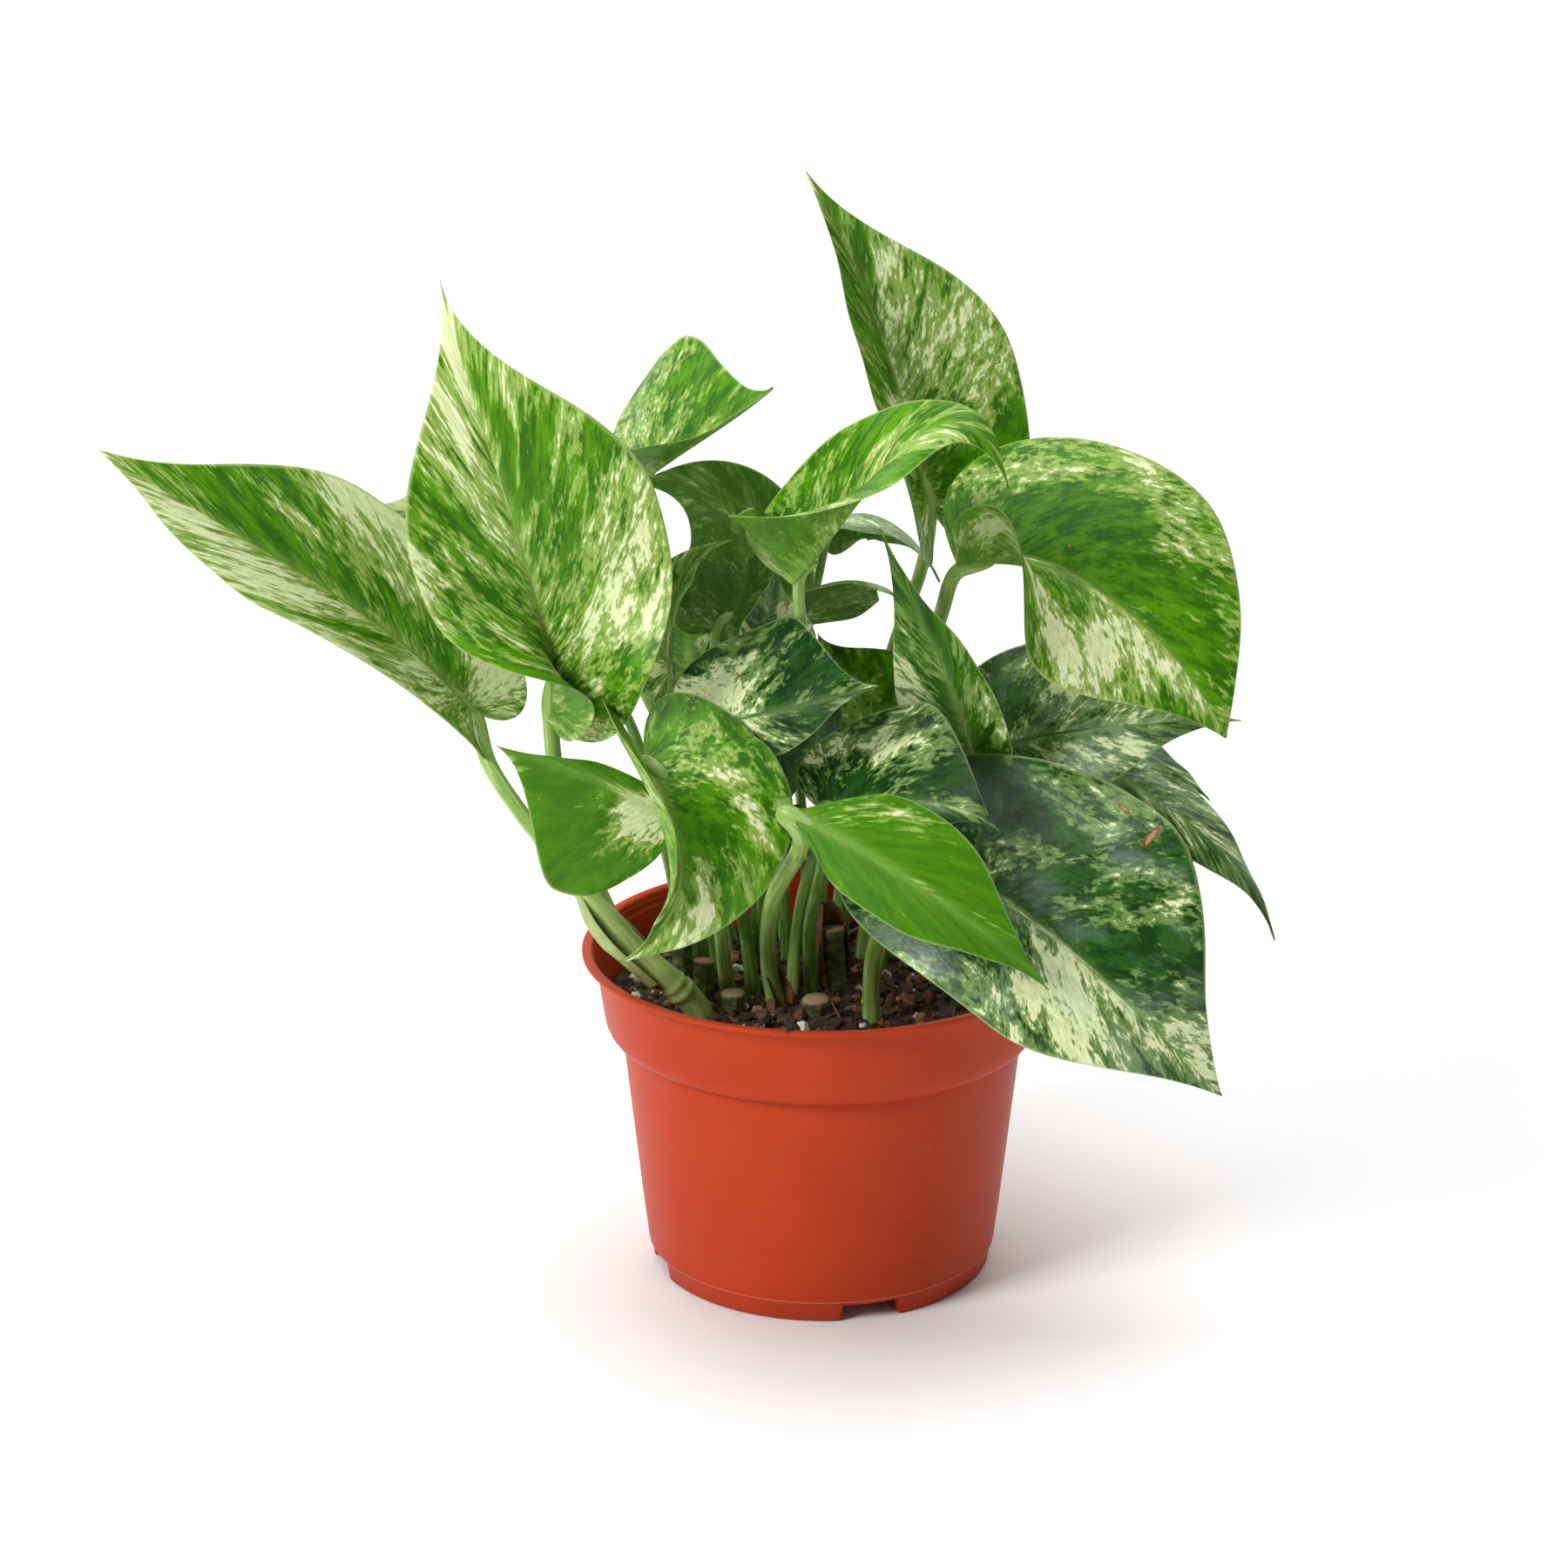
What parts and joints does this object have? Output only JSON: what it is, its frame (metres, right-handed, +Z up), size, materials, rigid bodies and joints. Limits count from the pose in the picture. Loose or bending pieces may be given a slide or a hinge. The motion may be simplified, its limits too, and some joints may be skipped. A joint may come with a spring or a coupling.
{
  "type": "potted pothos plant",
  "caption": "Variegated trailing houseplant with heart-shaped leaves on arching stalks, growing from dark soil in a tapered terracotta-coloured plastic nursery pot.",
  "frame": {"origin": "middle of the box round the whole plant, on the plane the pot stands on", "axes": "+Z up, along the pot's axis; -Y towards the front of the plant; +X to the right seen from the front"},
  "size_m": [0.2542, 0.1762, 0.2491],
  "materials": {
    "pot": "satin terracotta-coloured moulded plastic",
    "soil": "damp peat mix with bark and white perlite grains",
    "leaf": "waxy green leaf marbled with cream",
    "stem": "smooth pale green stem"
  },
  "bodies": {
    "root": {"leaf_far_left": "leaf", "leaf_tall_left": "leaf", "leaf_peek_left": "leaf", "leaf_back_top": "leaf", "leaf_back_arch": "leaf", "leaf_side_bright": "leaf", "leaf_back_dark": "leaf", "leaf_arch": "leaf", "leaf_tall_right": "leaf", "leaf_big_right": "leaf", "leaf_back_drape": "leaf", "leaf_mid_flat": "leaf", "leaf_sword": "leaf", "leaf_dark_right": "leaf", "leaf_sliver_upper": "leaf", "leaf_sliver_right": "leaf", "leaf_big_low": "leaf", "leaf_spear_low": "leaf", "leaf_dark_centre": "leaf", "leaf_cream_dark": "leaf", "leaf_behind_mid": "leaf", "leaf_front_round": "leaf", "leaf_front_bright": "leaf", "leaf_marbled_low": "leaf", "leaf_narrow_mid": "leaf", "leaf_tip_mid": "leaf", "leaf_shade_left": "leaf", "leaf_back_low": "leaf", "leaf_back_left": "leaf", "leaf_back_middle": "leaf", "stump_front_left": "stem", "stump_front_middle": "stem", "stump_tall": "stem", "stump_left": "stem", "stump_sheathed": "stem", "vine": "stem", "pot": "pot", "soil": "soil"}
  },
  "joints": []
}
